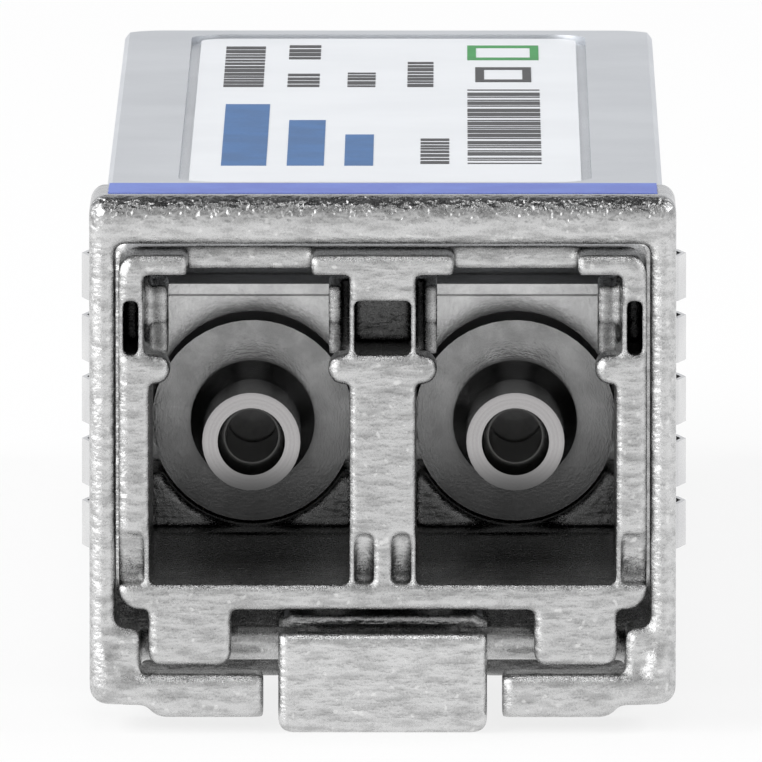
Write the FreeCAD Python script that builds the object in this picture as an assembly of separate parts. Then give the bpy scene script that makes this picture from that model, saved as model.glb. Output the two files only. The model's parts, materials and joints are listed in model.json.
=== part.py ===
import math
import os

import FreeCAD
import Part

Vector = FreeCAD.Vector

# Sizes in millimetres. The drawing frame has +X right, +Y to the rear from the
# port face and +Z up from the body's underside.

# Envelope of the module
module_length = 56.5
body_height = 8.5
nose_length = 9.0
nose_overhang = 0.15
nose_rise = 0.47
belly_drop = 1.5
belly_setback = 1.0
shell_wall = 0.7
cover_roof = 0.75
cover_rib_thickness = 0.8
cover_rib_setback = 0.25
cover_rib_lap = 0.1
floor_thickness = 1.0
split_height = 5.0
bottom_chamfer = 0.5
rear_corner_radius = 1.0
host_opening_length = 10.4

# Duplex port face
port_pitch = 6.25
port_width = 4.7
port_wall = 0.715
port_floor = 1.15
floor_draft = 0.17
roof_thickness = 0.52
sill_thickness = 0.6
face_depth = 1.5
arm_recess_length = 4.0
face_corner_radius = 0.5
face_edge_round = 0.12
latch_slot_width = 2.9
ear_drop = 2.23
ear_size = 0.7
ear_reach = 0.5
ear_depth = 1.2
pocket_height = 1.27
pocket_depth = 3.1
pocket_wall = 0.11
upper_relief = 0.14
foot_recess_height = 1.22
foot_recess_depth = 0.7
foot_recess_lip = 0.12
post_rib_width = 0.42
catch_place = 2.6
catch_length = 2.2
catch_inner_reach = 0.5
catch_outer_reach = 0.42
catch_width = 0.3
catch_groove = 1.4
catch_height = 1.7
catch_foot_height = 0.8
catch_foot_setback = 0.8

# Optical subassemblies
axis_height = 3.79
ferrule_diameter = 1.25
ferrule_clearance = 0.003
sleeve_wall = 0.25
barrel_length = 4.4
tube_diameter = 2.32
tip_hole_diameter = 1.6
tip_lip = 1.2
foot_diameter = 2.96
foot_length = 1.5
foot_land = 0.3
flange_diameter = 4.8
flange_setback = 0.6
flange_thickness = 2.0
neck_diameter = 3.3
neck_length = 1.4
sleeve_length = 4.0
sleeve_float = 0.3
tip_lead_in = 0.04
can_diameter = 4.6
can_length = 3.6
header_diameter = 5.4
header_thickness = 1.0
lead_count = 4
lead_sides = 6
lead_diameter = 0.45
lead_circle = 2.54
lead_length = 1.2
flex_thickness = 0.15
flex_width = 3.6
flex_bend = 0.5
flex_landing = 3.0
fit_gap = 0.05
over = 1.0

# Saddle and clip that hold the subassemblies
saddle_setback = 1.2
saddle_height = 2.6
clip_thickness = 0.6
clip_top_gap = 0.9
clip_flange = 1.9
clip_lip = 0.15
clip_flange_thickness = 0.24
clip_groove = 0.07
clip_groove_depth = 0.3

# Shielding collar
collar_setback = 0.3
collar_band = 0.6
collar_thickness = 0.12
collar_seat_depth = 0.25
collar_seat_length = 3.9
finger_length = 3.0
finger_width = 1.07
finger_margin = 0.5
finger_reach = 0.5
finger_flats = 4
side_fingers = 5
top_fingers = 8
bottom_fingers = 3
collar_gap = 3.8

# Release bail
bail_overhang = 0.03
bail_arm = 0.6
bail_arm_gap = 0.09
bail_depth = 3.2
bail_bar = 1.14
bail_bar_gap = 0.19
bail_foot_depth = 1.72
bail_foot_return = 0.6
bail_corner_radius = 0.4
bail_edge = 0.3
bail_bevel_depth = 0.18
bail_bevel_height = 0.42
bail_plate_depth = 1.2
plate_bottom = 2.0
plate_height = 1.04
plate_inner = 2.8
plate_outer = 5.5
plate_corner_radius = 0.42
strip_inset = 0.45
strip_thickness = 0.12
strip_front = 0.9
strip_length = 2.2
axle_place = 1.9
axle_drop = 0.45
axle_diameter = 0.8
eye_reach = 0.6
eye_rise = 0.57
eye_drop = 0.7
eye_front = 0.12
eye_round = 0.25
axle_clearance = 0.05
cam_radius = 0.5
cam_offset = 0.35
cam_width = 3.6

# Lugs that carry the bail's axle
lug_inner = 3.55
lug_outer = 5.5
lug_drop = 0.77
lug_depth = 1.2
lug_corner_radius = 0.3
saddle_wall = 0.4

# Latch rocker
rocker_half = 2.45
rocker_drop = 2.35
rocker_front_wall = 0.65
rocker_edge_round = 0.3
cam_clearance = 0.15
trough_length = 2.75
rocker_arm_half = 2.2
rocker_arm_top = 0.1
rocker_arm_bottom = 0.75
rocker_arm_end = 7.4
pivot_place = 6.0
pivot_drop = 0.2
pivot_diameter = 0.7
pivot_clearance = 0.05
pivot_half = 3.15
tail_half = 1.0
tail_low = 0.05
tail_thickness = 0.45
latch_shoulder = 11.5
boss_width = 2.6
boss_length = 2.6
boss_height = 0.45
boss_flat = 0.8
tail_overhang = 0.2
cavity_side_gap = 0.15
cavity_end_gap = 0.5
cavity_front_roof = 0.55
cavity_mid_roof = 1.0
cavity_rear_roof = 1.55
cavity_skin = 0.3
spring_thickness = 0.12
spring_width = 1.6
spring_length = 2.6
spring_heel = 0.36

# Label
label_recess_width = 10.0
label_recess_front = 20.2
label_recess_rear_margin = 1.0
label_recess_depth = 0.2
label_thickness = 0.12
label_gap = 0.25
label_corner_radius = 0.7

# Board and its parts
board_setback = 2.7
board_end_inset = 3.2
board_bottom = 2.25
board_thickness = 1.0
board_side_gap = 0.15
part_rows = 5
tongue_width = 9.2
tongue_length = 7.2
tongue_chamfer = 0.3
ledge_width = 0.9
pad_count = 10
pad_pitch = 0.8
pad_width = 0.5
pad_length = 3.0
pad_thickness = 0.04
pad_inset = 0.5
chip_edge = 0.1
driver_size = 3.5
driver_height = 0.9
amplifier_size = 3.0
amplifier_height = 0.8
controller_size = 4.5
controller_height = 1.0
memory_length = 3.0
memory_width = 2.2
memory_height = 0.7
capacitor_count = 8
capacitor_length = 1.0
capacitor_width = 0.5
capacitor_height = 0.55
resistor_count = 7
resistor_length = 0.6
resistor_width = 0.3
resistor_height = 0.25
passive_pitch = 1.3
thermal_pad_thickness = 0.6

# Screws that hold the cover from below
screw_setback = 4.6
screw_side = 5.0
screw_thread_diameter = 1.4
screw_head_diameter = 2.2
screw_head_height = 0.7
screw_grip = 3.0
screw_recess_length = 1.1
screw_recess_width = 0.26
screw_clearance = 0.05
screw_boss_radius = 1.25
board_notch_gap = 0.2

# Worked-out places
port_offset = port_pitch / 2
port_inner = port_offset - port_width / 2
port_outer = port_offset + port_width / 2
face_half = port_outer + port_wall
arm_inner = face_half + bail_arm_gap
bail_half = arm_inner + bail_arm
nose_half = bail_half - bail_overhang
body_half = nose_half - nose_overhang
nose_top = body_height + nose_rise
port_top = nose_top - roof_thickness
ear_height = port_top - ear_drop
sill_bottom = port_floor - sill_thickness
inner_half = body_half - shell_wall
cover_inside = body_height - cover_roof
saddle_front = nose_length + saddle_setback
collar_start = nose_length + collar_setback
flange_front = saddle_front + flange_setback
nose_tip = flange_front - barrel_length
flange_rear = flange_front + flange_thickness
neck_rear = flange_rear + neck_length
can_rear = neck_rear + can_length
header_rear = can_rear + header_thickness
clip_height = cover_inside - clip_top_gap
clip_front = flange_rear + fit_gap
clip_rear = clip_front + clip_thickness
seat_half = body_half - collar_seat_depth
seat_top = body_height - collar_seat_depth
seat_rear = collar_start + collar_seat_length
host_opening_start = module_length - host_opening_length
board_start = header_rear + board_setback
board_end = module_length - board_end_inset
board_top = board_bottom + board_thickness
board_half = inner_half - board_side_gap
tongue_start = board_end - tongue_length
parts_start = board_start + flex_landing
parts_length = driver_size + capacitor_length + controller_size + memory_length + resistor_length
part_gap = (tongue_start - parts_start - parts_length) / (part_rows + 1)
driver_place = parts_start + part_gap
capacitor_place = driver_place + driver_size + part_gap
controller_place = capacitor_place + capacitor_length + part_gap
memory_place = controller_place + controller_size + part_gap
resistor_place = memory_place + memory_length + part_gap
screw_place = host_opening_start - screw_setback
bar_bottom = nose_top + bail_bar_gap
bail_top = bar_bottom + bail_bar
axle_height = -axle_drop
pivot_height = -pivot_drop
trough_floor = axle_height - cam_radius - cam_clearance
tail_end = latch_shoulder + boss_length + tail_overhang
cavity_half = boss_width / 2 + cavity_side_gap
cavity_end = tail_end + cavity_end_gap
cavity_wide_end = rocker_arm_end + cavity_end_gap
spring_front = latch_shoulder - cavity_end_gap
spring_room = spring_front - cavity_end_gap
sleeve_radius = ferrule_diameter / 2 + sleeve_wall
sleeve_front = nose_tip + tip_lip
sleeve_rear = sleeve_front + sleeve_length
stub_front = sleeve_rear + sleeve_float
sides = (-1, 1)


def block(x0, x1, y0, y1, z0, z1):
    return Part.makeBox(x1 - x0, y1 - y0, z1 - z0, Vector(x0, y0, z0))


def rod_x(radius, y, z, x0, x1):
    return Part.makeCylinder(radius, x1 - x0, Vector(x0, y, z), Vector(1, 0, 0))


def rod_y(radius, x, z, y0, y1):
    return Part.makeCylinder(radius, y1 - y0, Vector(x, y0, z), Vector(0, 1, 0))


def rod_z(radius, x, y, z0, z1):
    return Part.makeCylinder(radius, z1 - z0, Vector(x, y, z0), Vector(0, 0, 1))


def prism_x(profile, x0, x1):
    points = [Vector(x0, y, z) for y, z in profile]
    return Part.Face(Part.makePolygon(points + points[:1])).extrude(Vector(x1 - x0, 0, 0))


def prism_z(profile, z0, z1):
    points = [Vector(x, y, z0) for x, y in profile]
    return Part.Face(Part.makePolygon(points + points[:1])).extrude(Vector(0, 0, z1 - z0))


def turned(profile, x, z):
    points = [Vector(radius, y, 0) for radius, y in profile]
    face = Part.Face(Part.makePolygon(points + points[:1]))
    solid = face.revolve(Vector(0, 0, 0), Vector(0, 1, 0), 360)
    solid.translate(Vector(x, 0, z))
    return solid


def united(shapes):
    first, rest = shapes[0], shapes[1:]
    return first.fuse(rest).removeSplitter() if rest else first


def both_sides(shape):
    return [shape, shape.mirror(Vector(0, 0, 0), Vector(1, 0, 0))]


def softened(shape, radius, chosen):
    return shape.makeFillet(radius, [edge for edge in shape.Edges if chosen(edge.BoundBox)])


def runs_along_y(x=None, z=None):
    def chosen(box):
        along = box.YLength > box.XLength + box.ZLength
        at_x = x is None or abs(box.Center.x - x) < fit_gap
        at_z = z is None or abs(box.Center.z - z) < fit_gap
        return along and at_x and at_z
    return chosen


def lies_at_front(box):
    return box.YMax < fit_gap


def bevelled(shape, size, chosen):
    return shape.makeChamfer(size, [edge for edge in shape.Edges if chosen(edge.BoundBox)])


def one_solid(shape):
    return shape.Solids[0] if len(shape.Solids) == 1 else shape


# Base housing

def nose_blank():
    face = block(-face_half, face_half, 0, arm_recess_length, sill_bottom, nose_top)
    face = softened(face, face_corner_radius, runs_along_y())
    face = bevelled(face, face_edge_round, lies_at_front)
    top_step = block(-face_half, face_half, -over, face_depth,
                     nose_top - face_edge_round / 2, nose_top + over)
    shoulder = block(-nose_half, nose_half, arm_recess_length, nose_length, 0, nose_top)
    shoulder = bevelled(shoulder, bottom_chamfer, runs_along_y(z=nose_top))
    belly = block(-nose_half, nose_half, arm_recess_length, nose_length - belly_setback, -belly_drop, 0)
    belly = bevelled(belly, bottom_chamfer, runs_along_y(z=-belly_drop))
    return face.cut(top_step).fuse([shoulder, belly])


def port_cutter():
    rear = flange_rear + fit_gap
    profile = [
        (-over, port_floor),
        (0, port_floor),
        (rear, port_floor + floor_draft),
        (rear, port_top),
        (-over, port_top),
    ]
    return prism_x(profile, port_inner, port_outer)


def latch_slot_cutter():
    left = port_offset - latch_slot_width / 2
    right = port_offset + latch_slot_width / 2
    return block(left, right, -over, face_depth, port_top - over, nose_top + over)


def face_recesses():
    low = ear_height + ear_size / 2
    high = low + pocket_height
    outer_low = port_outer + pocket_wall
    outer_high = face_half - pocket_wall
    relieved = port_outer + upper_relief
    centre = port_inner - pocket_wall
    rib = post_rib_width / 2
    top = port_floor + foot_recess_height
    foot = [(-over, port_floor), (foot_recess_depth, port_floor), (foot_recess_lip, top), (-over, top)]
    return [
        block(-centre, centre, -over, pocket_depth, low, high),
        *both_sides(prism_x(foot, rib, centre)),
        *both_sides(prism_x(foot, outer_low, face_half + over)),
        *both_sides(block(port_inner + ear_reach, relieved, -over, catch_place, low, port_top)),
        *both_sides(block(relieved + pocket_wall, outer_high, -over, pocket_depth, low, high)),
    ]


def ears():
    radius = ear_size / 2
    made = []
    for edge, way in ((port_inner, 1), (port_outer, -1)):
        tip = edge + way * (ear_reach - radius)
        nub = rod_y(radius, tip, ear_height, 0, ear_depth)
        nub = bevelled(nub, face_edge_round, lies_at_front)
        root = block(min(edge - way * fit_gap, tip), max(edge - way * fit_gap, tip),
                     face_edge_round, ear_depth, ear_height - radius, ear_height + radius)
        made += both_sides(nub.fuse(root))
    return made


def plug_catches():
    # Ledges that hold the plug's hooks, each grooved in front along the wall that carries it
    rear = catch_place + catch_length
    groove_rear = catch_place + catch_groove
    foot_front = catch_place + catch_foot_setback
    top = ear_height + catch_height
    made = []
    for edge, way, reach in ((port_inner, 1, catch_inner_reach), (port_outer, -1, catch_outer_reach)):
        root = edge - way * fit_gap
        tip = edge + way * reach
        bottom = tip - way * catch_width
        ledge = block(min(root, tip), max(root, tip), catch_place, rear, ear_height, top)
        groove = block(min(edge, bottom), max(edge, bottom), catch_place - over, groove_rear,
                       ear_height - over, top + over)
        foot = block(min(root, tip), max(root, tip), catch_place - over, foot_front,
                     ear_height - over, ear_height + catch_foot_height)
        made += both_sides(ledge.cut([groove, foot]))
    return made


def axle_lug():
    rear = axle_place + axle_diameter / 2 + axle_clearance + saddle_wall
    tab = block(lug_inner, lug_outer, 0, lug_depth, -lug_drop, sill_bottom + fit_gap)
    tab = softened(tab, lug_corner_radius, runs_along_y(z=-lug_drop))
    tab = bevelled(tab, face_edge_round, lambda box: lies_at_front(box) and box.ZMin < 0)
    cap = block(lug_inner, lug_outer, lug_depth / 2, rear, axle_height, sill_bottom + fit_gap)
    bore = rod_x(axle_diameter / 2 + axle_clearance, axle_place, axle_height,
                 lug_inner - over, lug_outer + over)
    return tab.fuse(cap).cut(bore)


def pivot_hole():
    return rod_x(pivot_diameter / 2, pivot_place, pivot_height, -pivot_half, pivot_half)


def latch_cavity():
    low = -belly_drop - over
    arm_half = rocker_arm_half + cavity_side_gap
    wide = block(-arm_half, arm_half, arm_recess_length - over, cavity_wide_end, low, cavity_front_roof)
    middle = block(-cavity_half, cavity_half, pivot_place, spring_room, low, cavity_mid_roof)
    rear = block(-cavity_half, cavity_half, spring_room, cavity_end, low, cavity_rear_roof)
    return [wide, middle, rear]


def tray():
    walls = block(-body_half, body_half, nose_length, module_length, 0, split_height)
    walls = bevelled(walls, bottom_chamfer, runs_along_y(z=0))
    inside = block(-inner_half, inner_half, nose_length - over, module_length + over,
                   floor_thickness, body_height)
    host = block(-inner_half, inner_half, host_opening_start, module_length + over, -over, body_height)
    corner = rounded_rear(split_height)
    return walls.cut(inside).cut(host).common(corner)


def rounded_rear(height):
    plan = block(-body_half, body_half, 0, module_length, 0, height)
    return softened(plan, rear_corner_radius,
                    lambda box: box.ZLength > box.XLength + box.YLength and box.YMin > nose_length)


def collar_seat(height):
    outer = block(-nose_half - over, nose_half + over, collar_start - fit_gap, seat_rear, -over, height)
    core = block(-seat_half, seat_half, collar_start - over, seat_rear + over, collar_seat_depth, seat_top)
    return outer.cut(core)


def saddle():
    rear = clip_rear + fit_gap
    body = block(-inner_half, inner_half, saddle_front, rear, 0, saddle_height)
    roof = block(-cavity_half - cavity_skin, cavity_half + cavity_skin, rear, cavity_end + cavity_skin,
                 0, cavity_rear_roof + cavity_skin)
    pocket = flange_diameter / 2 + fit_gap
    for side in sides:
        seat = rod_y(pocket, side * port_offset, axis_height, saddle_front - over, rear + over)
        body = body.cut(seat)
    clip_slot = block(-inner_half - over, inner_half + over, clip_front - fit_gap, rear + over,
                      floor_thickness, body_height)
    return [body.cut(clip_slot.cut(roof_strip())), roof]


def roof_strip():
    half = cavity_half + cavity_skin
    return block(-half, half, 0, cavity_end + cavity_skin, 0, cavity_rear_roof + cavity_skin)


def board_ledges():
    rail = block(inner_half - ledge_width, inner_half, board_start, host_opening_start,
                 floor_thickness - fit_gap, board_bottom)
    bosses = [rod_z(screw_boss_radius, side * screw_side, screw_place, 0, board_bottom) for side in sides]
    inside = block(-inner_half - fit_gap, inner_half + fit_gap, 0, module_length, 0, body_height)
    return both_sides(rail) + [boss.common(inside) for boss in bosses]


def screw_holes(radius_gap):
    cuts = []
    for side in sides:
        x = side * screw_side
        thread = screw_thread_diameter / 2 + radius_gap
        head = screw_head_diameter / 2 + radius_gap
        cuts.append(rod_z(thread, x, screw_place, -over, board_bottom + over))
        cuts.append(rod_z(head, x, screw_place, -over, screw_head_height))
    return cuts


def base_housing():
    nose = nose_blank()
    septum = block(-port_inner, port_inner, nose_length, saddle_front,
                   floor_thickness, cover_inside - fit_gap)
    sill = block(-inner_half, inner_half, nose_length, saddle_front, 0, port_floor + floor_draft)
    solid = united([nose, tray(), septum, sill] + saddle() + board_ledges())
    nose_room = block(-nose_half, nose_half, -over, nose_length, 0, nose_top + over)
    for cutter in both_sides(port_cutter()) + both_sides(latch_slot_cutter()):
        solid = solid.cut(cutter.common(nose_room))
    solid = united([solid] + ears() + plug_catches() + both_sides(axle_lug()))
    solid = solid.cut(face_recesses())
    solid = solid.cut(latch_cavity())
    solid = solid.cut([pivot_hole(), collar_seat(split_height)] + screw_holes(screw_clearance))
    return one_solid(solid.removeSplitter())


# Cover and label

def label_recess_rear():
    return module_length - label_recess_rear_margin


def label_plate(gap, z0, z1, radius):
    half = label_recess_width / 2 - gap
    plate = block(-half, half, label_recess_front + gap, label_recess_rear() - gap, z0, z1)
    return softened(plate, radius, lambda box: box.ZLength > box.XLength + box.YLength)


def cover_post(side):
    post = rod_z(screw_boss_radius, side * screw_side, screw_place, board_bottom, cover_inside + fit_gap)
    inside = block(-inner_half, inner_half, 0, module_length, 0, body_height)
    pilot = rod_z(screw_thread_diameter / 2, side * screw_side, screw_place, 0, board_bottom + screw_grip)
    return post.common(inside).cut(pilot)


def heat_pedestal():
    half = driver_size / 2
    top = board_top + driver_height + thermal_pad_thickness
    return block(-port_offset - half, -port_offset + half, driver_place, driver_place + driver_size,
                 top, cover_inside + fit_gap)


def bay_rib():
    # Wall under the roof that closes the optical bay behind the clip
    front = clip_front + clip_flange + cover_rib_setback
    return block(-inner_half - fit_gap, inner_half + fit_gap, front, front + cover_rib_thickness,
                 clip_height - cover_rib_lap, cover_inside + fit_gap)


def top_cover():
    outer = block(-body_half, body_half, nose_length, module_length, split_height, body_height)
    outer = bevelled(outer, face_edge_round, runs_along_y(z=body_height))
    inside = block(-inner_half, inner_half, nose_length - over, module_length + over, 0, cover_inside)
    shell = outer.common(rounded_rear(body_height)).cut(inside)
    shell = united([shell, heat_pedestal(), bay_rib()] + [cover_post(side) for side in sides])
    recess = label_plate(0, body_height - label_recess_depth, body_height + over,
                         label_corner_radius + label_gap)
    return one_solid(shell.cut([collar_seat(body_height + over), recess]))


def type_label():
    low = body_height - label_recess_depth
    return label_plate(label_gap, low, low + label_thickness, label_corner_radius)


# Shielding collar

def finger_leaf():
    # A bowed leaf along +Y, formed in short flats, its foot on the band and its crown outward along +X
    crown = finger_reach + collar_seat_depth - collar_thickness
    steps = [index / finger_flats for index in range(finger_flats + 1)]
    inner = [Vector(crown * math.sin(math.pi * step), finger_length * step, 0) for step in steps]
    outer = [point + Vector(collar_thickness, 0, 0) for point in reversed(inner)]
    points = inner + outer
    return Part.Face(Part.makePolygon(points + points[:1])).extrude(Vector(0, 0, finger_width))


def collar_finger(turn, across, out):
    leaf = finger_leaf()
    leaf.translate(Vector(0, 0, -finger_width / 2))
    leaf.rotate(Vector(0, 0, 0), Vector(0, 1, 0), turn)
    x, z = (out, across) if turn in (0, 180) else (across, out)
    leaf.translate(Vector(x, collar_start + collar_band - fit_gap, z))
    return leaf


def spread(count, pitch):
    return [(index - (count - 1) / 2) * pitch for index in range(count)]


def finger_row(low, high, count):
    first = low + finger_margin + finger_width / 2
    last = high - finger_margin - finger_width / 2
    return [first + (last - first) * index / (count - 1) for index in range(count)]


def collar_ring():
    t = collar_thickness
    front, rear = collar_start, collar_start + collar_band
    outer = block(-seat_half - t, seat_half + t, front, rear, collar_seat_depth - t, seat_top + t)
    core = block(-seat_half, seat_half, front - over, rear + over, collar_seat_depth, seat_top)
    gap = block(-collar_gap / 2, collar_gap / 2, front - over, rear + over, -over, body_height / 2)
    return outer.cut([core, gap])


def emi_collar():
    pieces = [collar_ring()]
    for z in finger_row(collar_seat_depth, seat_top, side_fingers):
        pieces.append(collar_finger(0, z, seat_half))
        pieces.append(collar_finger(180, z, -seat_half))
    for x in finger_row(-seat_half, seat_half, top_fingers):
        pieces.append(collar_finger(-90, x, seat_top))
    for x in finger_row(collar_gap / 2 - finger_margin, seat_half, bottom_fingers):
        pieces += both_sides(collar_finger(90, x, collar_seat_depth))
    return one_solid(united(pieces))


# Optical subassemblies

def receptacle(x):
    hole = tip_hole_diameter / 2
    tube = tube_diameter / 2
    foot = foot_diameter / 2
    bore = sleeve_radius
    mouth = ferrule_diameter / 2 + tip_lead_in
    profile = [
        (hole, nose_tip),
        (tube, nose_tip),
        (tube, flange_front - foot_length),
        (foot, flange_front - foot_land),
        (foot, flange_front),
        (flange_diameter / 2, flange_front),
        (flange_diameter / 2, flange_rear),
        (neck_diameter / 2, flange_rear),
        (neck_diameter / 2, neck_rear),
        (bore, neck_rear),
        (bore, sleeve_front),
        (mouth, sleeve_front),
    ]
    return turned(profile, x, axis_height)


def sleeve(x):
    inner = ferrule_diameter / 2 + ferrule_clearance
    tube = rod_y(sleeve_radius, x, axis_height, sleeve_front, sleeve_rear)
    return tube.cut(rod_y(inner, x, axis_height, sleeve_front - over, sleeve_rear + over))


def fibre_stub(x):
    return rod_y(sleeve_radius, x, axis_height, stub_front, neck_rear)


def can(x):
    return rod_y(can_diameter / 2, x, axis_height, neck_rear, can_rear)


def corner_angles(count):
    return [math.tau * (index + 0.5) / count for index in range(count)]


def lead_points(x):
    reach = lead_circle / 2
    angles = corner_angles(lead_count)
    return [(x + reach * math.cos(angle), axis_height + reach * math.sin(angle)) for angle in angles]


def lead_wire(x, z, width, y0, y1):
    radius = width / 2
    points = [Vector(x + radius * math.cos(angle), y0, z + radius * math.sin(angle))
              for angle in corner_angles(lead_sides)]
    return Part.Face(Part.makePolygon(points + points[:1])).extrude(Vector(0, y1 - y0, 0))


def header(x):
    disc = rod_y(header_diameter / 2, x, axis_height, can_rear, header_rear)
    leads = [lead_wire(px, pz, lead_diameter, header_rear - fit_gap, header_rear + lead_length)
             for px, pz in lead_points(x)]
    return united([disc] + leads)


def flex(x):
    front = header_rear + fit_gap
    rear = front + flex_thickness
    low = board_top
    high = low + flex_thickness
    top = axis_height + flex_width / 2
    end = board_start + flex_landing
    corner = rear + flex_bend
    middle = math.sqrt(0.5)
    inner = Part.Arc(
        Vector(0, rear, high + flex_bend),
        Vector(0, corner - flex_bend * middle, high + flex_bend * (1 - middle)),
        Vector(0, corner, high),
    ).toShape()
    reach = flex_bend + flex_thickness
    outer = Part.Arc(
        Vector(0, front, high + flex_bend),
        Vector(0, corner - reach * middle, high + flex_bend - reach * middle),
        Vector(0, corner, low),
    ).toShape()
    edges = [
        inner,
        Part.makeLine(Vector(0, corner, high), Vector(0, end, high)),
        Part.makeLine(Vector(0, end, high), Vector(0, end, low)),
        Part.makeLine(Vector(0, end, low), Vector(0, corner, low)),
        outer,
        Part.makeLine(Vector(0, front, high + flex_bend), Vector(0, front, top)),
        Part.makeLine(Vector(0, front, top), Vector(0, rear, top)),
        Part.makeLine(Vector(0, rear, top), Vector(0, rear, high + flex_bend)),
    ]
    sheet = Part.Face(Part.Wire(Part.__sortEdges__(edges))).extrude(Vector(flex_width, 0, 0))
    sheet.translate(Vector(x - flex_width / 2, 0, 0))
    holes = [lead_wire(px, pz, lead_diameter + 2 * fit_gap, header_rear, header_rear + lead_length)
             for px, pz in lead_points(x)]
    return sheet.cut(holes)


def osa_clip():
    reach = inner_half - fit_gap
    plate = block(-reach, reach, clip_front, clip_rear, floor_thickness, clip_height)
    flange_bottom = clip_height - clip_flange_thickness
    flange = block(-reach, reach, clip_front - clip_lip, clip_front + clip_flange,
                   flange_bottom, clip_height)
    groove = block(-inner_half, inner_half, clip_front - over, clip_front + clip_groove_depth,
                   flange_bottom - clip_groove, flange_bottom)
    plate = plate.fuse(flange).cut(groove)
    radius = neck_diameter / 2 + fit_gap
    for side in sides:
        x = side * port_offset
        hole = rod_y(radius, x, axis_height, clip_front - over, clip_rear + over)
        slot = block(x - radius, x + radius, clip_front - over, clip_rear + over, 0, axis_height)
        plate = plate.cut(hole.fuse(slot))
    half = cavity_half + cavity_skin + fit_gap
    notch = block(-half, half, clip_front - over, clip_rear + over, 0, cavity_rear_roof + cavity_skin)
    return one_solid(plate.cut(notch).removeSplitter())


# Release bail

def bail_frame():
    outer = block(-bail_half, bail_half, 0, bail_depth, -bail_foot_depth, bail_top)
    outer = softened(outer, bail_corner_radius, runs_along_y())
    outer = bevelled(outer, bail_edge, lies_at_front)
    inner = block(-arm_inner, arm_inner, -over, bail_depth + over,
                  -bail_foot_depth + bail_foot_return, bar_bottom)
    inner = bevelled(inner, face_edge_round, runs_along_y())
    open_foot = block(-plate_outer, plate_outer, -over, bail_depth + over,
                      -bail_foot_depth - over, axle_height)
    rear_foot = block(-arm_inner, arm_inner, bail_plate_depth, bail_depth + over,
                      -bail_foot_depth - over, axle_height)
    strip = block(-bail_half + strip_inset, bail_half - strip_inset, strip_front,
                  strip_front + strip_length, bail_top - strip_thickness, bail_top + over)
    return outer.cut([inner, bail_flare(), open_foot, rear_foot, strip])


def bail_flare():
    # The opening widens towards the front, as far as the bevel's depth
    wide = arm_inner + bail_bevel_height
    high = bar_bottom + bail_bevel_height
    return Part.makeWedge(-wide, 0, axle_height, axle_height, -arm_inner,
                          wide, bail_bevel_depth, high, bar_bottom, arm_inner)


def bail_plate():
    plate = block(plate_inner, plate_outer + fit_gap, 0, bail_plate_depth,
                  -plate_bottom, -plate_bottom + plate_height)
    plate = softened(plate, plate_corner_radius, runs_along_y(x=plate_outer + fit_gap, z=-plate_bottom))
    plate = bevelled(plate, face_edge_round, lies_at_front)
    bridge = block(plate_outer - bail_arm, plate_outer + bail_arm, face_edge_round, bail_plate_depth,
                   -bail_foot_depth, -bail_foot_depth + bail_foot_return)
    return plate.fuse(bridge)


def bail_axle():
    shaft = rod_x(axle_diameter / 2, axle_place, axle_height, -arm_inner - fit_gap, arm_inner + fit_gap)
    lobe = rod_x(cam_radius, axle_place - cam_offset, axle_height, -cam_width / 2, cam_width / 2)
    return [shaft, lobe]


def bail_eye():
    # Rounded lobe inside the arm, in front of the axle's end
    inner = arm_inner - eye_reach
    eye = block(inner, arm_inner + fit_gap, eye_front, axle_place,
                axle_height - eye_drop, axle_height + eye_rise)
    return softened(eye, eye_round, runs_along_y(x=inner))


def bail_handle():
    feet = both_sides(bail_plate()) + both_sides(bail_eye())
    return one_solid(united([bail_frame()] + feet + bail_axle()))


def colour_strip():
    half = bail_half - strip_inset
    return block(-half, half, strip_front, strip_front + strip_length, bail_top - strip_thickness, bail_top)


# Latch rocker

def rocker_front():
    body = block(-rocker_half, rocker_half, 0, trough_length + rocker_front_wall, -rocker_drop, 0)
    body = softened(body, rocker_edge_round, runs_along_y(z=-rocker_drop))
    body = bevelled(body, face_edge_round, lies_at_front)
    trough = block(-rocker_half - over, rocker_half + over, rocker_front_wall, trough_length,
                   trough_floor, over)
    return body.cut(trough)


def rocker_arm():
    radius = rocker_arm_bottom + pivot_height
    arm = block(-rocker_arm_half, rocker_arm_half, trough_length, pivot_place,
                -rocker_arm_bottom, rocker_arm_top)
    heel = block(-rocker_arm_half, rocker_arm_half, pivot_place - fit_gap, rocker_arm_end,
                 pivot_height - radius / 2, rocker_arm_top)
    eye = rod_x(radius, pivot_place, pivot_height, -rocker_arm_half, rocker_arm_half)
    return [arm, heel, eye]


def rocker_tail():
    high = tail_low + tail_thickness
    tail = block(-tail_half, tail_half, rocker_arm_end - fit_gap, tail_end, tail_low, high)
    neck = block(-tail_half, tail_half, rocker_arm_end - tail_half, rocker_arm_end + tail_thickness,
                 pivot_height, high)
    front = latch_shoulder
    rear = front + boss_length
    profile = [(front, tail_low + fit_gap), (front, -boss_height), (front + boss_flat, -boss_height),
               (rear, 0), (rear, tail_low + fit_gap)]
    boss = prism_x(profile, -boss_width / 2, boss_width / 2)
    return [tail, neck, boss]


def latch_rocker():
    solid = united([rocker_front()] + rocker_arm() + rocker_tail())
    bore = rod_x(pivot_diameter / 2 + pivot_clearance, pivot_place, pivot_height, -rocker_half, rocker_half)
    return one_solid(solid.cut(bore))


def latch_pivot_pin():
    return pivot_hole()


def latch_spring():
    top = cavity_rear_roof
    low = tail_low + tail_thickness
    front = spring_front
    rear = front + spring_length
    t = spring_thickness
    profile = [
        (rear, top),
        (front, top),
        (front, top - t),
        (rear - t, low),
        (rear, low + t),
        (front + spring_heel, top - t),
        (rear, top - t),
    ]
    return prism_x(profile, -spring_width / 2, spring_width / 2)


# Board and its parts

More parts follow.
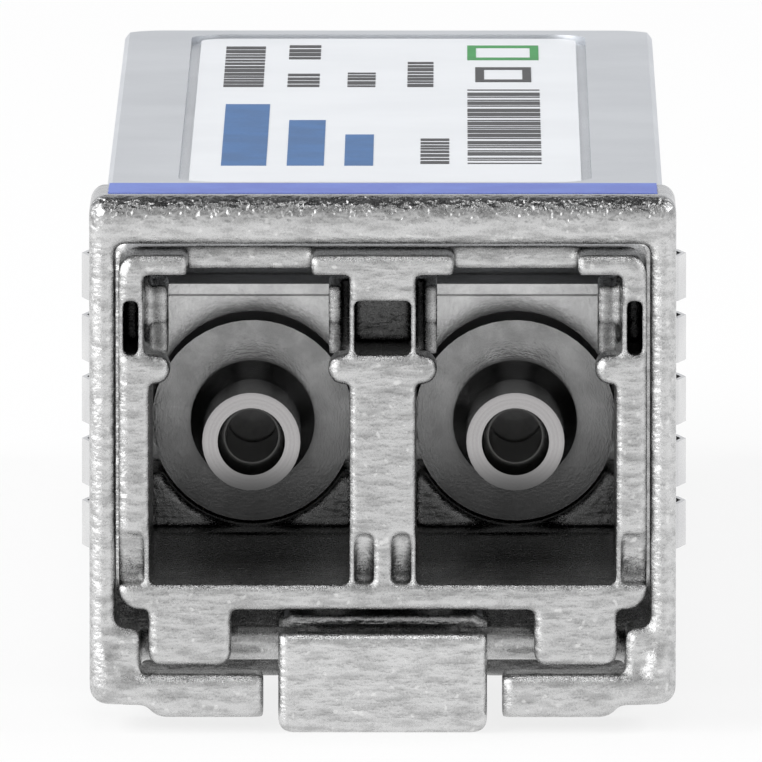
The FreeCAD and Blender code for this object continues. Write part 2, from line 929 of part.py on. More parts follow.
def main_board():
    t = tongue_width / 2
    profile = [
        (-board_half, board_start),
        (board_half, board_start),
        (board_half, tongue_start),
        (t, tongue_start),
        (t, board_end - tongue_chamfer),
        (t - tongue_chamfer, board_end),
        (-t + tongue_chamfer, board_end),
        (-t, board_end - tongue_chamfer),
        (-t, tongue_start),
        (-board_half, tongue_start),
    ]
    board = prism_z(profile, board_bottom, board_top)
    notches = [rod_z(screw_boss_radius + board_notch_gap, side * screw_side, screw_place, 0, body_height)
               for side in sides]
    wide = screw_boss_radius + board_notch_gap
    slots = both_sides(block(screw_side, body_half, screw_place - wide, screw_place + wide, 0, body_height))
    return board.cut(notches + slots)


def edge_contacts():
    rear = board_end - pad_inset
    pads = []
    for x in spread(pad_count, pad_pitch):
        left, right = x - pad_width / 2, x + pad_width / 2
        pads.append(block(left, right, rear - pad_length, rear, board_top, board_top + pad_thickness))
        pads.append(block(left, right, rear - pad_length, rear, board_bottom - pad_thickness, board_bottom))
    return Part.makeCompound(pads)


def package(x, y, width, length, height):
    body = block(x - width / 2, x + width / 2, y, y + length, board_top, board_top + height)
    return bevelled(body, chip_edge, lambda box: box.ZMin > board_top + height / 2)


def chip_row(count, y, width, length, height):
    pieces = [block(x - width / 2, x + width / 2, y, y + length, board_top, board_top + height)
              for x in spread(count, passive_pitch)]
    return Part.makeCompound(pieces)


def thermal_pad():
    half = driver_size / 2
    low = board_top + driver_height
    return block(-port_offset - half, -port_offset + half, driver_place, driver_place + driver_size,
                 low, low + thermal_pad_thickness)


def cover_screws():
    pieces = []
    for side in sides:
        x = side * screw_side
        shank = rod_z(screw_thread_diameter / 2, x, screw_place, screw_head_height - fit_gap,
                      board_bottom + screw_grip - fit_gap)
        head = rod_z(screw_head_diameter / 2, x, screw_place, fit_gap, screw_head_height)
        along, thin = screw_recess_length / 2, screw_recess_width / 2
        deep = screw_head_height / 2
        slot = block(x - along, x + along, screw_place - thin, screw_place + thin, 0, deep)
        cross = block(x - thin, x + thin, screw_place - along, screw_place + along, 0, deep)
        pieces.append(head.fuse(shank).cut([slot, cross]).removeSplitter())
    return Part.makeCompound(pieces)


def save(name, shape):
    placed = shape.copy()
    placed.translate(Vector(0, -module_length / 2, rocker_drop))
    placed.exportStep("parts/" + name + ".step")


def main():
    os.makedirs("parts", exist_ok=True)
    save("base_housing", base_housing())
    save("top_cover", top_cover())
    save("type_label", type_label())
    save("emi_collar", emi_collar())
    save("osa_clip", osa_clip())
    for name, side in (("tx", -1), ("rx", 1)):
        x = side * port_offset
        save(name + "_receptacle", receptacle(x))
        save(name + "_sleeve", sleeve(x))
        save(name + "_fibre_stub", fibre_stub(x))
        save(name + "_can", can(x))
        save(name + "_header", header(x))
        save(name + "_flex", flex(x))
    save("bail_handle", bail_handle())
    save("colour_strip", colour_strip())
    save("latch_rocker", latch_rocker())
    save("latch_pivot_pin", latch_pivot_pin())
    save("latch_spring", latch_spring())
    save("main_board", main_board())
    save("edge_contacts", edge_contacts())
    save("driver_chip", package(-port_offset, driver_place, driver_size, driver_size, driver_height))
    save("amplifier_chip", package(port_offset, driver_place, amplifier_size, amplifier_size,
                                   amplifier_height))
    save("controller_chip", package(0, controller_place, controller_size, controller_size,
                                    controller_height))
    save("memory_chip", package(0, memory_place, memory_width, memory_length, memory_height))
    save("capacitors", chip_row(capacitor_count, capacitor_place, capacitor_width, capacitor_length,
                                capacitor_height))
    save("resistors", chip_row(resistor_count, resistor_place, resistor_width, resistor_length,
                               resistor_height))
    save("thermal_pad", thermal_pad())
    save("cover_screws", cover_screws())


main()
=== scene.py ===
import json
import math
import random

import bmesh
import bpy
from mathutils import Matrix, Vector


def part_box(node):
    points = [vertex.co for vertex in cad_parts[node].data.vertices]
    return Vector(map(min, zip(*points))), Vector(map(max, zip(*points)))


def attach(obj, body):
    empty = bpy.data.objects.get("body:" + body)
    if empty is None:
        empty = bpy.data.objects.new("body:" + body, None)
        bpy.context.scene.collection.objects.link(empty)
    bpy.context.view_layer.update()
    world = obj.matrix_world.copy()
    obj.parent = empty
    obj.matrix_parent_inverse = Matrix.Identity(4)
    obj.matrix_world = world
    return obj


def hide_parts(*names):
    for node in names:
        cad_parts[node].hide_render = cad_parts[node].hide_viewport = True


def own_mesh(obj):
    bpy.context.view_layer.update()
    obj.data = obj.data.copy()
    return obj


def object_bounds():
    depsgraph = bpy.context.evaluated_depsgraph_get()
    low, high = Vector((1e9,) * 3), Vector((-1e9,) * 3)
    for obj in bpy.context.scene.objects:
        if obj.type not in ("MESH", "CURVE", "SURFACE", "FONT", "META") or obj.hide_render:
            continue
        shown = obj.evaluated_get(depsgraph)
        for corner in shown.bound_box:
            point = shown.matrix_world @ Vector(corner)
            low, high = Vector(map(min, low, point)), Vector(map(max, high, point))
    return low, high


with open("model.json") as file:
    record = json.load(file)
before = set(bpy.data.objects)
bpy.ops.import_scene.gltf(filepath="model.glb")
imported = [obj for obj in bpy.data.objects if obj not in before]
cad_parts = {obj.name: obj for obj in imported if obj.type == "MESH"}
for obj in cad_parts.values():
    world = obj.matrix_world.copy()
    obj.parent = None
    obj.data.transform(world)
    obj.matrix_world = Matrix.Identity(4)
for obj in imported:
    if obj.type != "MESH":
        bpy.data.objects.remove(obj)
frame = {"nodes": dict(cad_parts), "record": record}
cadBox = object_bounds()
nodes = frame["nodes"]
mm = 0.001
print("frame loaded:", len(nodes), "nodes")


class Link:  # one output socket, with Python maths on it
    def __init__(self, finish, socket):
        self.finish = finish
        self.socket = socket

    def maths(self, operation, *values):
        return self.finish.add("ShaderNodeMath", {"operation": operation}, dict(enumerate(values)))

    def __add__(self, other):
        return self.maths("ADD", self, other)

    def __radd__(self, other):
        return self.maths("ADD", other, self)

    def __sub__(self, other):
        return self.maths("SUBTRACT", self, other)

    def __rsub__(self, other):
        return self.maths("SUBTRACT", other, self)

    def __mul__(self, other):
        return self.maths("MULTIPLY", self, other)

    def __rmul__(self, other):
        return self.maths("MULTIPLY", other, self)

    def __pow__(self, other):
        return self.maths("POWER", self, other)

    def __rpow__(self, other):
        return self.maths("POWER", other, self)

    def __abs__(self):
        return self.maths("ABSOLUTE", self)

    def larger(self, other):
        return self.maths("MAXIMUM", self, other)


class Finish:  # a node tree and the one method that adds to it
    def __init__(self, tree):
        self.tree = tree
        tree.nodes.clear()

    def add(self, kind, settings=None, inputs=None, output=0):
        node = self.tree.nodes.new(kind)
        for key, value in (settings or {}).items():
            setattr(node, key, value)
        for key, value in (inputs or {}).items():
            socket = node.inputs[key]
            if isinstance(value, Link):
                self.tree.links.new(value.socket, socket)
            else:
                isColour = socket.type == "RGBA" and len(value) == 3
                socket.default_value = (*value, 1) if isColour else value
        return Link(self, node.outputs[output]) if len(node.outputs) else None

    def place(self):  # a point on the object, in metres
        return self.add("ShaderNodeTexCoord", output="Object")

    def axis(self, which):
        return self.add("ShaderNodeSeparateXYZ", None, {0: self.place()}, which)

    def facing(self, which):  # how far the surface faces along an axis
        normal = self.add("ShaderNodeTexCoord", output="Normal")
        return self.add("ShaderNodeSeparateXYZ", None, {0: normal}, which)

    def noise(self, size, detail, rough, stretch=None):
        spot = self.place()
        if stretch:
            spot = self.add("ShaderNodeVectorMath", {"operation": "MULTIPLY"}, {0: spot, 1: stretch})
        inputs = {"Vector": spot, "Scale": 1 / size, "Detail": detail, "Roughness": rough}
        return self.add("ShaderNodeTexNoise", None, inputs)

    def cells(self, size):  # distance to the nearest of scattered points
        return self.add("ShaderNodeTexVoronoi", None, {"Vector": self.place(), "Scale": 1 / size})

    def band(self, value, start, end):  # 0 up to the start, 1 from the end on, smooth between
        settings = {"interpolation_type": "SMOOTHSTEP"}
        return self.add("ShaderNodeMapRange", settings, {0: value, 1: start, 2: end, 3: 0.0, 4: 1.0})

    def blend(self, share, first, second):  # of two colours, by the node's colour sockets 6, 7 and 2
        settings = {"data_type": "RGBA"}
        return self.add("ShaderNodeMix", settings, {0: share, 6: first, 7: second}, 2)

    def nook(self, reach, alone=False):  # 0 in the open, 1 deep in a hollow
        settings = {"samples": 3, "only_local": alone}
        return 1 - self.add("ShaderNodeAmbientOcclusion", settings, {"Distance": reach}, "AO")

    def bump(self, height, depth, soft=None):
        inputs = {"Distance": depth, "Height": height}
        if soft:  # worn, rounded edges
            inputs["Normal"] = self.add("ShaderNodeBevel", {"samples": 4}, {"Radius": soft})
        return self.add("ShaderNodeBump", None, inputs)

    def shader(self, **sockets):
        inputs = {key.replace("_", " "): value for key, value in sockets.items()}
        surface = self.add("ShaderNodeBsdfPrincipled", None, inputs)
        self.add("ShaderNodeOutputMaterial", None, {0: surface})


def newFinish(name):
    material = bpy.data.materials.new(name)
    material.use_nodes = True
    return material, Finish(material.node_tree)


# Metals

broadNoise = (3.0, 0.55)  # detail and roughness
fineNoise = (2.0, 0.6)


def castPlate(name, look):
    material, f = newFinish(name)
    peel = f.noise(*look["peel"])  # orange peel of the casting
    grain = f.noise(*look["grain"])
    flow = f.noise(*look["flow"])  # drawn-out cold flow lines
    pits = f.band(f.cells(look["pits"]), *look["pitEdge"])
    spots = f.band(f.noise(*look["spots"]), *look["spotEdge"])
    # painted shade: the colour darkens toward a near-black in hollows and crevices
    shelter = f.nook(look["nook"], alone=True)
    if "inside" in look:  # painted shade under the sill and deep in the ports, but not on their side walls
        level = 1 - abs(f.facing(0))
        shelter = shelter + f.band(f.axis(1), *look["inside"]) * level * look["insideShade"]
        shelter = shelter + f.band(f.axis(2), *look["under"]) * look["underShade"]
    paintedShade = f.band(shelter, *look["nookEdge"])
    height = (peel * look["peelHeight"] + flow * look["flowHeight"]
              + grain * look["grainHeight"] + pits * look["pitHeight"])
    if "grit" in look:  # coarse skin along the upper front edge, with painted shade darkening it
        coarse = f.band(f.axis(2), *look["gritSpan"]) * f.band(f.axis(1), *look["gritDepth"])
        height = height + f.noise(*look["grit"]) * coarse * look["gritHeight"]
        paintedShade = paintedShade.larger(coarse ** look["gritFade"] * look["gritShade"])
    tone = f.band(flow * look["toneFlow"] + grain * (1 - look["toneFlow"]), *look["toneEdge"])
    colour = f.blend(tone, look["dark"], look["light"])
    plated = f.blend(spots * look["spotShare"], colour, look["bright"])
    f.shader(Base_Color=f.blend(paintedShade, plated, look["paintedShadeColour"]), Metallic=1.0,
             Roughness=look["rough"] + grain * look["grainRough"] - spots * look["spotShine"],
             Normal=f.bump(height, look["depth"], look["soft"]))
    return material


def satinPlate(name, look):
    material, f = newFinish(name)
    cloud = f.noise(look["cloud"], *broadNoise)
    grain = f.noise(look["grain"], *fineNoise)
    colour = f.blend(f.band(cloud, *look["cloudEdge"]), look["dark"], look["light"])
    if "nook" in look:  # painted shade on the unlit inside
        colour = f.blend(f.band(f.nook(look["nook"]), *look["nookEdge"]), colour, look["inside"])
    height = cloud * look["cloudHeight"] + grain * (1 - look["cloudHeight"])
    f.shader(Base_Color=colour, Metallic=1.0, Roughness=look["rough"] + grain * look["grainRough"],
             Normal=f.bump(height, look["depth"]))
    return material


def turnedSteel(name, look):
    material, f = newFinish(name)
    along = f.axis(1)
    tip = f.band(along, *look["tip"])
    disc = f.band(along, *look["disc"])
    # behind the disc front: painted shade, near black, dull and not metallic
    rimShade = f.band(along, *look["behind"])
    offAxis = abs(f.axis(0)) - look["axisSide"]  # one finish for both sides
    offHeight = f.axis(2) - look["axisHeight"]
    radius = (offAxis ** 2 + offHeight ** 2) ** 0.5
    ringInputs = {"W": radius, "Scale": 1 / look["rings"]}
    rings = f.add("ShaderNodeTexNoise", {"noise_dimensions": "1D"}, ringInputs)  # turning marks
    marks = f.noise(look["marks"], *fineNoise, look["marksStretch"])
    grain = f.noise(look["grain"], *fineNoise)
    worn = f.band(f.noise(*look["worn"]), *look["wornEdge"])
    barrel = f.blend(marks, look["barrelDark"], look["barrelLight"])
    # painted shade: the disc darker in hollows and towards the bottom
    shelter = f.nook(look["nook"]) + f.band(offHeight, *look["lowerShade"]) * look["lowerShadeShare"]
    paintedShade = f.band(shelter, *look["nookEdge"])
    plate = f.blend(paintedShade, f.blend(worn, look["discDark"], look["discLight"]), look["discShade"])
    tone = rings * look["ringTone"] + grain * (1 - look["ringTone"])
    nose = f.blend(tone, look["tipDark"], look["tipLight"])
    nose = f.blend(f.band(offHeight, *look["tipShadeSpan"]), nose, look["tipShade"])  # painted shade: the tip darker low down
    colour = f.blend(rimShade, f.blend(tip, f.blend(disc, barrel, plate), nose), look["rimShade"])
    height = (grain + marks) * look["grainHeight"] + rings * look["ringHeight"]
    f.shader(Base_Color=colour, Metallic=1 - rimShade, Normal=f.bump(height, look["depth"]),
             Roughness=look["rough"] + grain * look["grainRough"] + rimShade * look["rimRough"])
    return material


castLook = {
    "peel": (0.16 * mm, 2.0, 0.5), "grain": (0.05 * mm, 1.5, 0.6),  # size, detail, roughness, stretch
    "flow": (0.3 * mm, 2.5, 0.6, (0.4, 1.0, 1.5)), "spots": (0.2 * mm, 1.0, 0.5),
    "spotEdge": (0.64, 0.76), "pits": 0.6 * mm, "pitEdge": (0.06, 0.3),
    "peelHeight": 0.35, "flowHeight": 0.5, "grainHeight": 0.05, "pitHeight": 0.2,
    "dark": (0.48, 0.48, 0.48), "light": (0.70, 0.70, 0.70), "toneFlow": 0.7, "toneEdge": (0.34, 0.6),
    "bright": (0.95, 0.95, 0.94), "spotShare": 0.4, "spotShine": 0.1,
    # painted shade in hollows: its colour, reach and edges
    "paintedShadeColour": (0.08, 0.08, 0.08), "nook": 1.0 * mm, "nookEdge": (0.3, 0.95),
    "rough": 0.2, "grainRough": 0.16, "depth": 0.045 * mm, "soft": 0.14 * mm,
}
bailLow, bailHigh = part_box("bail_handle")
bailLook = {
    **castLook, "dark": (0.44, 0.44, 0.44), "light": (0.66, 0.66, 0.66), "soft": 0.26 * mm,
    # coarse skin along the upper front edge, with painted shade darkening it
    "grit": (0.18 * mm, 1.0, 0.5), "gritHeight": 2.0, "gritFade": 3, "gritShade": 0.4,
    "gritSpan": (bailHigh.z - 1.2 * mm, bailHigh.z - 0.2 * mm),
    "gritDepth": (bailLow.y + 0.9 * mm, bailLow.y + 0.5 * mm),
}
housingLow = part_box("base_housing")[0]
housingLook = {
    **castLook, "dark": (0.41, 0.41, 0.41), "light": (0.63, 0.63, 0.63), "soft": 0.2 * mm,
    # painted shade in hollows, under the sill and deep in the ports
    "nook": 3.5 * mm, "nookEdge": (0.58, 0.95),
    "under": (housingLow.z + 2.25 * mm, housingLow.z + 1.95 * mm), "underShade": 0.35,
    "inside": (housingLow.y + 2.5 * mm, housingLow.y + 4.5 * mm), "insideShade": 0.45,
}
satinLook = {"cloudEdge": (0.3, 0.7), "cloudHeight": 0.3, "grainRough": 0.12}
coverLook = {
    **satinLook, "cloud": 6 * mm, "grain": 0.12 * mm, "rough": 0.34, "depth": 0.008 * mm,
    "dark": (0.70, 0.72, 0.75), "light": (0.78, 0.80, 0.83),
    # painted shade on the inside: reach, edges and colour
    "nook": 5 * mm, "nookEdge": (0.6, 0.95), "inside": (0.10, 0.10, 0.10),
}
springLook = {
    **satinLook, "cloud": 3 * mm, "grain": 0.06 * mm, "rough": 0.2, "depth": 0.005 * mm,
    "dark": (0.62, 0.62, 0.63), "light": (0.78, 0.78, 0.78),
}
clipLook = {
    **satinLook, "cloud": 1.2 * mm, "grain": 0.09 * mm, "rough": 0.18, "depth": 0.004 * mm,
    "dark": (0.56, 0.56, 0.56), "light": (0.74, 0.74, 0.74),
}
canLook = {
    **satinLook, "cloud": 2 * mm, "grain": 0.05 * mm, "rough": 0.25, "depth": 0.004 * mm,
    "dark": (0.60, 0.58, 0.53), "light": (0.72, 0.70, 0.65),
}
goldLook = {
    **satinLook, "cloud": 0.8 * mm, "grain": 0.05 * mm, "rough": 0.22, "depth": 0.004 * mm,
    "dark": (0.80, 0.55, 0.20), "light": (0.95, 0.72, 0.34),
}
screwLook = {
    **satinLook, "cloud": 0.6 * mm, "grain": 0.05 * mm, "rough": 0.3, "depth": 0.008 * mm,
    "dark": (0.20, 0.20, 0.21), "light": (0.36, 0.36, 0.37),
}
receptacleLow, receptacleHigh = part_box("tx_receptacle")
receptacleMiddle = (receptacleLow + receptacleHigh) / 2
tipFront = receptacleLow.y
discFront = tipFront + 4.4 * mm
receptacleLook = {
    "axisSide": abs(receptacleMiddle.x), "axisHeight": receptacleMiddle.z,
    "tip": (tipFront + 0.08 * mm, tipFront + 0.02 * mm),
    "disc": (discFront - 0.04 * mm, discFront + 0.01 * mm),
    "behind": (discFront + 0.03 * mm, discFront + 0.12 * mm),
    "marks": 0.1 * mm, "marksStretch": (1.0, 6.0, 1.0), "grain": 0.05 * mm, "grainHeight": 0.4,
    "worn": (0.9 * mm, 3.0, 0.6), "wornEdge": (0.35, 0.7),
    "rings": 0.09 * mm, "ringTone": 0.7, "ringHeight": 0.15,
    "tipDark": (0.29, 0.28, 0.28), "tipLight": (0.53, 0.52, 0.52),
    # painted shade on the tip, darker low down
    "tipShade": (0.08, 0.08, 0.08), "tipShadeSpan": (0.0, -1.3 * mm),
    # painted shade: the disc darker towards the bottom
    "lowerShade": (1.0 * mm, -1.8 * mm), "lowerShadeShare": 0.2,
    "barrelDark": (0.10, 0.10, 0.10), "barrelLight": (0.17, 0.17, 0.17),
    "discDark": (0.35, 0.35, 0.35), "discLight": (0.51, 0.51, 0.51), "discShade": (0.04, 0.04, 0.04),
    # painted shade: near black behind the disc front, and the reach of shade in hollows
    "rimShade": (0.015, 0.015, 0.015), "rimRough": 0.5, "nook": 4 * mm, "nookEdge": (0.35, 0.95),
    "rough": 0.07, "grainRough": 0.15, "depth": 0.005 * mm,
}


# Plastics, ceramics, board and paper

def plainBody(name, look):
    material, f = newFinish(name)
    cloud = f.noise(look["cloud"], *broadNoise)
    grain = f.noise(look["grain"], *fineNoise)
    colour = f.blend(f.band(cloud, *look["cloudEdge"]), look["dark"], look["light"])
    f.shader(Base_Color=colour, Roughness=look["rough"] + grain * look["grainRough"],
             Coat_Weight=look["coat"], Normal=f.bump(grain, look["depth"]))
    return material


bodyLook = {"cloudEdge": (0.3, 0.7), "grainRough": 0.1, "coat": 0.0}
stripLook = {
    **bodyLook, "cloud": 1.5 * mm, "grain": 0.1 * mm, "rough": 0.42, "depth": 0.006 * mm,
    "dark": (0.10, 0.15, 0.53), "light": (0.13, 0.20, 0.61),
}
paperLook = {
    **bodyLook, "cloud": 4 * mm, "grain": 0.08 * mm, "rough": 0.42, "depth": 0.002 * mm, "coat": 0.15,
    "dark": (0.78, 0.80, 0.83), "light": (0.82, 0.84, 0.87),
}
# grey zirconia sleeve, its colour darkened as painted shade deep in the bore
zirconiaBoreShadeLook = {
    **bodyLook, "cloud": 0.5 * mm, "grain": 0.04 * mm, "rough": 0.18, "depth": 0.002 * mm, "coat": 0.3,
    "dark": (0.15, 0.148, 0.14), "light": (0.22, 0.215, 0.20),
}
filmLook = {
    **bodyLook, "cloud": 0.7 * mm, "grain": 0.05 * mm, "rough": 0.28, "depth": 0.003 * mm, "coat": 0.4,
    "dark": (0.42, 0.20, 0.04), "light": (0.58, 0.32, 0.08),
}
chipLook = {
    **bodyLook, "cloud": 1.0 * mm, "grain": 0.05 * mm, "rough": 0.55, "depth": 0.006 * mm,
    "dark": (0.025, 0.025, 0.027), "light": (0.05, 0.05, 0.053),
}
capacitorLook = {
    **bodyLook, "cloud": 0.3 * mm, "grain": 0.05 * mm, "rough": 0.4, "depth": 0.004 * mm,
    "dark": (0.40, 0.28, 0.17), "light": (0.55, 0.41, 0.28),
}
resistorLook = {
    **bodyLook, "cloud": 0.2 * mm, "grain": 0.04 * mm, "rough": 0.3, "depth": 0.004 * mm,
    "dark": (0.03, 0.03, 0.035), "light": (0.08, 0.08, 0.09),
}
padLook = {
    **bodyLook, "cloud": 0.6 * mm, "grain": 0.08 * mm, "rough": 0.6, "depth": 0.01 * mm,
    "dark": (0.36, 0.42, 0.50), "light": (0.46, 0.52, 0.60),
}
boardLook = {
    **bodyLook, "cloud": 2 * mm, "grain": 0.06 * mm, "rough": 0.3, "depth": 0.004 * mm, "coat": 0.4,
    "dark": (0.012, 0.12, 0.05), "light": (0.03, 0.20, 0.09),
}
finishes = {
    "plated_casting": castPlate("platedCasting", castLook),
    "cover_plating": satinPlate("coverPlating", coverLook),
    "spring_steel": satinPlate("springSteel", springLook),
    "clip_sheet": satinPlate("clipSheet", clipLook),
    "barrel_steel": turnedSteel("barrelSteel", receptacleLook),
    "can_metal": satinPlate("canMetal", canLook),
    "header_gold": satinPlate("headerGold", goldLook),
    "contact_gold": satinPlate("contactGold", goldLook),
    "screw_steel": satinPlate("screwSteel", screwLook),
    "label_paper": plainBody("labelPaper", paperLook),
    "blue_plastic": plainBody("bluePlastic", stripLook),
    "sleeve_ceramic": plainBody("sleeveCeramic", zirconiaBoreShadeLook),
    "flex_film": plainBody("flexFilm", filmLook),
    "board_green": plainBody("boardGreen", boardLook),
    "chip_black": plainBody("chipBlack", chipLook),
    "capacitor_body": plainBody("capacitorBody", capacitorLook),
    "resistor_body": plainBody("resistorBody", resistorLook),
    "pad_grey": plainBody("padGrey", padLook),
}
for part in frame["record"]["subparts"]:
    target = nodes[part["node"]]
    target.data.materials.clear()
    target.data.materials.append(finishes[part["material_slot"]])
nodes["base_housing"].data.materials[0] = castPlate("housingCasting", housingLook)
nodes["bail_handle"].data.materials[0] = castPlate("bailCasting", bailLook)
print("finishes set:", len(finishes) + 2)


# Softened edges of the castings

castEdges = {
    "bail_handle": {"step": 0.07 * mm, "rounds": 20, "keep": 0.35},
    "base_housing": {"step": 0.06 * mm, "rounds": 9, "keep": 0.08},
    "latch_rocker": {"step": 0.07 * mm, "rounds": 6, "keep": 0.35},
}


def softenCasting(node, look):
    skin = node.modifiers.new("skin", "REMESH")
    skin.mode = "VOXEL"
    skin.voxel_size = look["step"]
    skin.use_smooth_shade = True
    relax = node.modifiers.new("relax", "SMOOTH")
    relax.iterations = look["rounds"]
    thin = node.modifiers.new("thin", "DECIMATE")
    thin.ratio = look["keep"]


for name, look in castEdges.items():
    softenCasting(nodes[name], look)
    made = nodes[name].evaluated_get(bpy.context.evaluated_depsgraph_get()).data
    print("softened:", name, len(made.polygons))


# Leaf that presses the latch out

leafLook = {
    "thick": 0.12 * mm, "edge": 0.015 * mm, "keep": 0.24,
    "bend": 0.07 * mm, "bendStart": 90, "bendEnd": 254, "bendSteps": 10,
}


def makeLatchLeaf():
    low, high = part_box("latch_spring")
    half = leafLook["thick"] / 2
    bend = leafLook["bend"]
    bendStart, bendTurn = leafLook["bendStart"], leafLook["bendEnd"] - leafLook["bendStart"]
    seat = high.z - half
    line = [(high.y, seat)]  # from the upper leg, round the fold, to the free end
    for step in range(leafLook["bendSteps"] + 1):
        turn = math.radians(bendStart + bendTurn * step / leafLook["bendSteps"])
        line.append((low.y + half + bend * (1 + math.cos(turn)), seat - bend * (1 - math.sin(turn))))
    line.append((high.y - half, low.z + half))
    mesh = bmesh.new()
    rows = [[mesh.verts.new((x, y, z)) for x in (low.x, high.x)] for y, z in line]
    for first, second in zip(rows, rows[1:]):
        mesh.faces.new((first[0], first[1], second[1], second[0]))
    data = bpy.data.meshes.new("latch_spring_leaf")
    mesh.to_mesh(data)
    mesh.free()
    leaf = bpy.data.objects.new("latch_spring_leaf", data)
    bpy.context.scene.collection.objects.link(leaf)
    data.materials.append(finishes["spring_steel"])
    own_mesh(leaf)
    sheet = leaf.modifiers.new("sheet", "SOLIDIFY")
    sheet.thickness = leafLook["thick"]
    sheet.offset = 0
    edge = leaf.modifiers.new("edge", "BEVEL")
    edge.width = leafLook["edge"]
    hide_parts("latch_spring")
    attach(leaf, "housing")
    print("latch leaf made:", len(line), "rows")


makeLatchLeaf()


# Print on the label: plain bars, dashes and frames

labelLow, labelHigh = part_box("type_label")
printLook = {  # millimetres: across from the middle, and along from the label's front end
    "thick": 0.012, "sunk": 0.003, "seed": 11,
    "blue": (0.02, 0.13, 0.36), "green": (0.012, 0.30, 0.05), "dark": (0.025, 0.025, 0.028),
    "stripes": [(-4.0, -2.9, 4.2, 18.6), (-2.4, -1.5, 4.2, 14.8), (-1.0, -0.3, 4.2, 11.4)],
    "bars": {
        "left": 2.0, "right": 3.8, "start": 4.6, "end": 22.0, "thin": 0.22, "wide": 0.75, "gap": 0.525,
    },
    "dashes": [
        {"left": -4.1, "right": -3.1, "start": 22.8, "end": 33.2},
        {"left": -2.5, "right": -1.7, "start": 22.8, "end": 26.0},
        {"left": -2.5, "right": -1.7, "start": 29.6, "end": 33.2},
        {"left": -1.0, "right": -0.3, "start": 22.8, "end": 26.6},
        {"left": 0.5, "right": 1.15, "start": 22.8, "end": 29.4},
        {"left": 0.85, "right": 1.55, "start": 4.6, "end": 11.0},
    ],
    "dashLeast": 0.4, "dashLength": (0.35, 0.8), "dashGap": (0.18, 0.35),
    "frames": {"dark": (2.2, 3.6, 24.0, 27.6), "green": (2.0, 3.8, 29.4, 33.0)},
    "frameLine": (0.22, 0.6),
}
inkLook = {
    **bodyLook, "cloud": 1.5 * mm, "grain": 0.1 * mm, "rough": 0.45, "depth": 0.002 * mm, "dim": 0.8,
}


def inkBlock(mesh, left, right, start, end):
    low = labelHigh.z - printLook["sunk"] * mm
    high = low + printLook["thick"] * mm
    for corner in bmesh.ops.create_cube(mesh, size=1.0)["verts"]:
        x = right if corner.co.x > 0 else left
        y = end if corner.co.y > 0 else start
        corner.co = (x * mm, labelLow.y + y * mm, high if corner.co.z > 0 else low)


def inkPiece(name, colour, blocks):
    mesh = bmesh.new()
    for block in blocks:
        inkBlock(mesh, *block)
    data = bpy.data.meshes.new(name)
    mesh.to_mesh(data)
    mesh.free()
    piece = bpy.data.objects.new(name, data)
    bpy.context.scene.collection.objects.link(piece)
    dim = tuple(channel * inkLook["dim"] for channel in colour)
    data.materials.append(plainBody(name, {**inkLook, "dark": dim, "light": colour}))
    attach(piece, "housing")


def barRow(look, chance):
    blocks = []
    place = look["start"]
    while place < look["end"]:
        width = chance.choice((look["thin"], look["thin"], look["wide"]))
        blocks.append((look["left"], look["right"], place, place + width))
        place += width + chance.choice((look["thin"], look["gap"]))
    return blocks


def dashRow(row, chance):
    blocks = []
    place = row["start"]
    while place < row["end"] - printLook["dashLeast"]:
        length = min(chance.uniform(*printLook["dashLength"]), row["end"] - place)
        blocks.append((row["left"], row["right"], place, place + length))
        place += length + chance.uniform(*printLook["dashGap"])
    return blocks


def frameBlocks(left, right, start, end):
    side, cap = printLook["frameLine"]
    return [
        (left, right, start, start + cap), (left, right, end - cap, end),
        (left, left + side, start + cap, end - cap), (right - side, right, start + cap, end - cap),
    ]


def printLabel():
    chance = random.Random(printLook["seed"])
    dark = barRow(printLook["bars"], chance)
    for row in printLook["dashes"]:
        dark += dashRow(row, chance)
    dark += frameBlocks(*printLook["frames"]["dark"])
    inkPiece("label_ink_dark", printLook["dark"], dark)
    inkPiece("label_ink_blue", printLook["blue"], printLook["stripes"])
    inkPiece("label_ink_green", printLook["green"], frameBlocks(*printLook["frames"]["green"]))
    print("label printed:", len(dark), "dark blocks")


printLabel()


# Stage, light and camera

stageLook = {"floor": (0.90, 0.90, 0.90), "reach": 3.0, "whiteShare": 0.8}


def makeFloor():
    reach = stageLook["reach"]
    mesh = bpy.data.meshes.new("floor")
    corners = [(-reach, -reach, 0), (reach, -reach, 0), (reach, reach, 0), (-reach, reach, 0)]
    mesh.from_pydata(corners, [], [(0, 1, 2, 3)])
    floor = bpy.data.objects.new("floor", mesh)
    bpy.context.scene.collection.objects.link(floor)
    material, f = newFinish("floorPaper")
    camera = f.add("ShaderNodeLightPath", output="Is Camera Ray")
    glossy = f.add("ShaderNodeLightPath", output="Is Glossy Ray")
    through = f.add("ShaderNodeLightPath", output="Is Transmission Ray")
    seen = camera.larger(glossy.larger(through))
    paper = f.add("ShaderNodeBsdfDiffuse", None, {"Color": stageLook["floor"]})
    white = f.add("ShaderNodeEmission", None, {"Color": (1, 1, 1), "Strength": 1.0})
    surface = f.add("ShaderNodeMixShader", None, {0: seen * stageLook["whiteShare"], 1: paper, 2: white})
    f.add("ShaderNodeOutputMaterial", None, {0: surface})
    mesh.materials.append(material)


worldLook = {
    "front": (0.75, 0.75, 0.75), "back": (0.95, 0.96, 0.98), "top": (0.05, 0.05, 0.052),
    "under": (0.5, 0.5, 0.5), "strength": 0.8,
    "backEdge": (-0.3, 0.3), "topEdge": (0.5, 0.92), "underEdge": (0.0, -0.3),
}


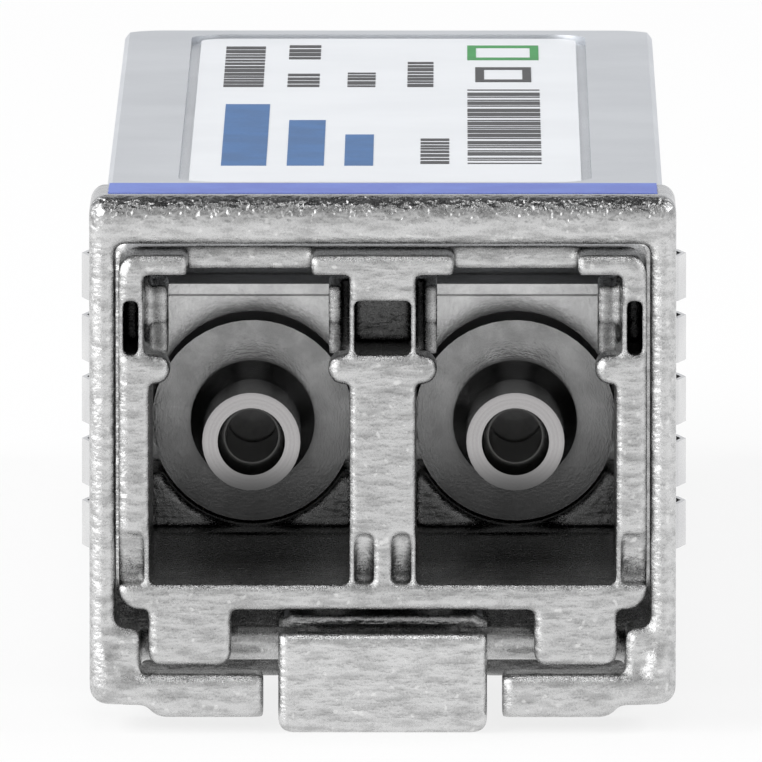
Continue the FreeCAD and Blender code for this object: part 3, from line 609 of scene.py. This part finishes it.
def makeWorld():
    world = bpy.data.worlds.new("studio")
    bpy.context.scene.world = world
    world.use_nodes = True
    f = Finish(world.node_tree)
    direction = f.add("ShaderNodeTexCoord", output="Generated")
    along = f.add("ShaderNodeSeparateXYZ", None, {0: direction}, 1)
    up = f.add("ShaderNodeSeparateXYZ", None, {0: direction}, 2)
    horizon = f.blend(f.band(along, *worldLook["backEdge"]), worldLook["front"], worldLook["back"])
    sky = f.blend(f.band(up, *worldLook["topEdge"]), horizon, worldLook["top"])
    around = f.blend(f.band(up, *worldLook["underEdge"]), sky, worldLook["under"])
    seen = f.add("ShaderNodeLightPath", output="Is Camera Ray")
    light = f.add("ShaderNodeBackground", None, {"Color": around, "Strength": worldLook["strength"]})
    white = f.add("ShaderNodeBackground", None, {"Color": (1, 1, 1), "Strength": 1.0})
    surface = f.add("ShaderNodeMixShader", None, {0: seen, 1: light, 2: white})
    f.add("ShaderNodeOutputWorld", None, {0: surface})


lampLook = {  # places and sizes in metres
    "leftHigh": {"at": (-0.46, 0.04, 0.44), "size": 0.3, "watts": 1.4},
    "rightHigh": {"at": (0.46, 0.04, 0.44), "size": 0.3, "watts": 1.4},
    "leftFront": {"at": (-0.55, -0.30, 0.16), "size": 0.7, "watts": 4.4},
    "rightFront": {"at": (0.55, -0.30, 0.16), "size": 0.5, "watts": 0.5},
    "overhead": {"at": (0.0, -0.30, 0.55), "size": 0.12, "watts": 0.3},
}


def makeLamps():
    middle = (cadBox[0] + cadBox[1]) / 2
    for name, look in lampLook.items():
        lamp = bpy.data.lights.new(name, "AREA")
        lamp.shape = "SQUARE"
        lamp.size = look["size"]
        lamp.energy = look["watts"]
        holder = bpy.data.objects.new(name + "Lamp", lamp)
        holder.location = look["at"]
        holder.rotation_euler = (middle - Vector(look["at"])).to_track_quat("-Z", "Y").to_euler()
        bpy.context.scene.collection.objects.link(holder)


cameraLook = {
    "at": (1.718 * mm, -661.01 * mm, 80.59 * mm), "down": 6.516, "turn": 0.159,  # degrees
    "lens": 1284.7, "sensor": 36.0, "clip": (0.05, 20.0),
}


def makeCamera():
    lens = bpy.data.cameras.new("view")
    lens.lens = cameraLook["lens"]
    lens.sensor_width = cameraLook["sensor"]
    lens.clip_start, lens.clip_end = cameraLook["clip"]
    holder = bpy.data.objects.new("view", lens)
    holder.location = cameraLook["at"]
    holder.rotation_euler = (math.radians(90 - cameraLook["down"]), 0, math.radians(cameraLook["turn"]))
    bpy.context.scene.collection.objects.link(holder)
    bpy.context.scene.camera = holder


makeFloor()
makeWorld()
makeLamps()
makeCamera()
bpy.context.scene.view_settings.view_transform = "Standard"
print("stage, lamps and camera set")
